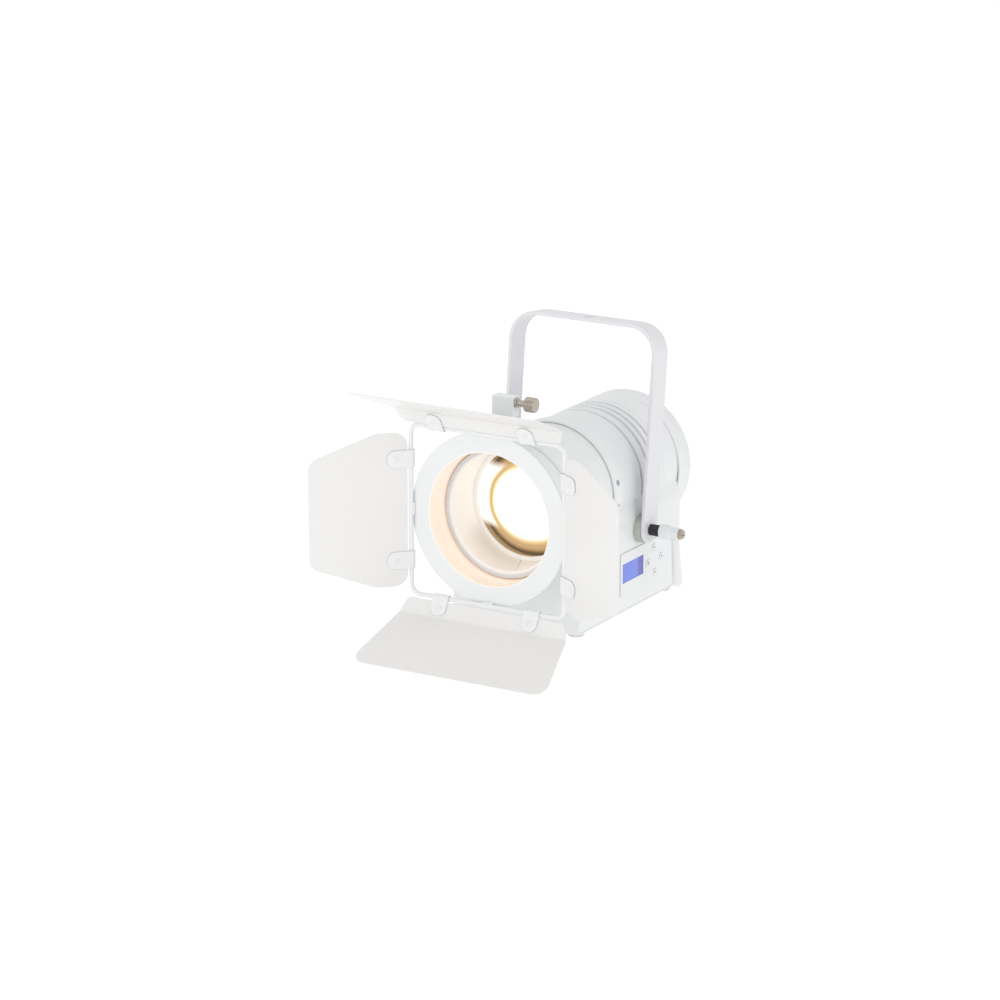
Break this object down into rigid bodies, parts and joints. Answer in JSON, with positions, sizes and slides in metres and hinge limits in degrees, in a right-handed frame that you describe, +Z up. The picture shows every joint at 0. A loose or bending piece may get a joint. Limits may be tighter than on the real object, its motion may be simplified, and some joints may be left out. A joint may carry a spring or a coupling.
{
  "type": "ellipsoidal spotlight",
  "caption": "Compact theatre spotlight on a suspension yoke, with a sliding condenser lens and folding barn doors in a turning frame.",
  "frame": {"origin": "centre of the clamp-bolt hole on the outer face of the yoke's crossbar, where the lamp hangs", "axes": "+Z up, -Y the way the lens looks, +X towards the control panel and the clamp lever"},
  "size_m": [0.3631, 0.422, 0.3299],
  "materials": {
    "white_paint": "smooth satin white powder paint on sheet aluminium",
    "door_paint": "satin white paint on thin sheet",
    "inner_paint": "satin white paint, warmed by the lens",
    "nickel": "nickel plate",
    "steel": "zinc plate",
    "black_plastic": "fine matt",
    "dark_rubber": "matt",
    "foot_rubber": "matt, light",
    "glass": "polished",
    "aluminium": "bare",
    "circuit_board": "solder mask",
    "phosphor": "matt",
    "display": "clear window over a lit display",
    "button_plastic": "matt"
  },
  "bodies": {
    "yoke": {"yoke_bracket": "white_paint", "left_pivot_bolt": "nickel", "clamp_spacer": "black_plastic"},
    "clamp_lever": {"clamp_lever": "white_paint", "clamp_screw": "nickel"},
    "head": {"housing_shell": "white_paint", "front_bezel": "white_paint", "flange_band": "white_paint", "base_plate": "white_paint", "foot_front_left": "foot_rubber", "foot_front_right": "foot_rubber", "foot_rear_left": "foot_rubber", "foot_rear_right": "foot_rubber", "rear_cap": "white_paint", "rear_panel": "white_paint", "power_inlet": "black_plastic", "power_outlet": "black_plastic", "dmx_inlet": "black_plastic", "dmx_outlet": "black_plastic", "fuse_holder": "black_plastic", "safety_eye": "steel", "control_panel": "white_paint", "display_window": "display", "display_module": "black_plastic", "control_board": "circuit_board", "led_emitter": "phosphor", "led_board": "aluminium", "heat_sink": "aluminium", "light_cone": "aluminium", "power_supply": "steel", "front_tube": "inner_paint", "accessory_holder": "white_paint", "pivot_disc_left": "dark_rubber", "pivot_disc_right": "dark_rubber"},
    "button_top": {"button_top": "button_plastic"},
    "button_right": {"button_right": "button_plastic"},
    "button_bottom": {"button_bottom": "button_plastic"},
    "button_left": {"button_left": "button_plastic"},
    "latch": {"holder_latch": "white_paint"},
    "latch_screw": {"latch_thumb_screw": "nickel"},
    "lens_carriage": {"lens_tube": "inner_paint", "lens_ring": "inner_paint", "lens": "glass"},
    "focus_knob": {"focus_knob": "black_plastic"},
    "barn_doors": {"barn_ring": "white_paint", "wire_frame": "white_paint"},
    "leaf_left": {"leaf_left": "door_paint", "leaf_left_clip_a": "white_paint", "leaf_left_clip_b": "white_paint"},
    "leaf_right": {"leaf_right": "door_paint", "leaf_right_clip_a": "white_paint", "leaf_right_clip_b": "white_paint"},
    "leaf_top": {"leaf_top": "door_paint", "leaf_top_clip_a": "white_paint", "leaf_top_clip_b": "white_paint"},
    "leaf_bottom": {"leaf_bottom": "door_paint", "leaf_bottom_clip_a": "white_paint", "leaf_bottom_clip_b": "white_paint"}
  },
  "joints": [
    {"name": "head_tilt", "type": "hinge", "parent": "yoke", "child": "head", "pos_m": [0, -0.02414, -0.22219], "axis": [1, 0, 0], "range_deg": [-30, 110]},
    {"name": "clamp_turn", "type": "hinge", "parent": "yoke", "child": "clamp_lever", "pos_m": [0, -0.02414, -0.22219], "axis": [1, 0, 0], "range_deg": [-30, 120]},
    {"name": "barn_doors_turn", "type": "hinge", "parent": "head", "child": "barn_doors", "pos_m": [0, -0.21614, -0.17719], "axis": [0, 1, 0], "continuous": true},
    {"name": "focus_slide", "type": "slide", "parent": "head", "child": "lens_carriage", "axis": [0, -1, 0], "range_m": [-0.03, 0.012]},
    {"name": "focus_knob_turn", "type": "hinge", "parent": "lens_carriage", "child": "focus_knob", "pos_m": [-0.083, -0.12214, -0.17719], "axis": [-1, 0, 0], "range_deg": [-180, 0]},
    {"name": "latch_lift", "type": "slide", "parent": "head", "child": "latch", "axis": [0, 0, 1], "range_m": [0, 0.006]},
    {"name": "latch_screw_turn", "type": "hinge", "parent": "latch", "child": "latch_screw", "pos_m": [0.031, -0.18054, -0.05529], "axis": [1, 0, 0], "range_deg": [-360, 0]},
    {"name": "leaf_left_hinge", "type": "hinge", "parent": "barn_doors", "child": "leaf_left", "pos_m": [-0.094, -0.21894, -0.17719], "axis": [0, 0, 1], "range_deg": [-60, 45]},
    {"name": "leaf_right_hinge", "type": "hinge", "parent": "barn_doors", "child": "leaf_right", "pos_m": [0.094, -0.21894, -0.17719], "axis": [0, 0, -1], "range_deg": [-45, 60]},
    {"name": "leaf_top_hinge", "type": "hinge", "parent": "barn_doors", "child": "leaf_top", "pos_m": [-0.005, -0.21894, -0.08319], "axis": [1, 0, 0], "range_deg": [-43, 36]},
    {"name": "leaf_bottom_hinge", "type": "hinge", "parent": "barn_doors", "child": "leaf_bottom", "pos_m": [0, -0.21894, -0.27119], "axis": [-1, 0, 0], "range_deg": [-39, 40]},
    {"name": "button_top_press", "type": "slide", "parent": "head", "child": "button_top", "axis": [-1, 0, 0], "range_m": [0, 0.0008], "stiffness_N_per_m": 600},
    {"name": "button_right_press", "type": "slide", "parent": "head", "child": "button_right", "axis": [-1, 0, 0], "range_m": [0, 0.0008], "stiffness_N_per_m": 600},
    {"name": "button_bottom_press", "type": "slide", "parent": "head", "child": "button_bottom", "axis": [-1, 0, 0], "range_m": [0, 0.0008], "stiffness_N_per_m": 600},
    {"name": "button_left_press", "type": "slide", "parent": "head", "child": "button_left", "axis": [-1, 0, 0], "range_m": [0, 0.0008], "stiffness_N_per_m": 600}
  ]
}
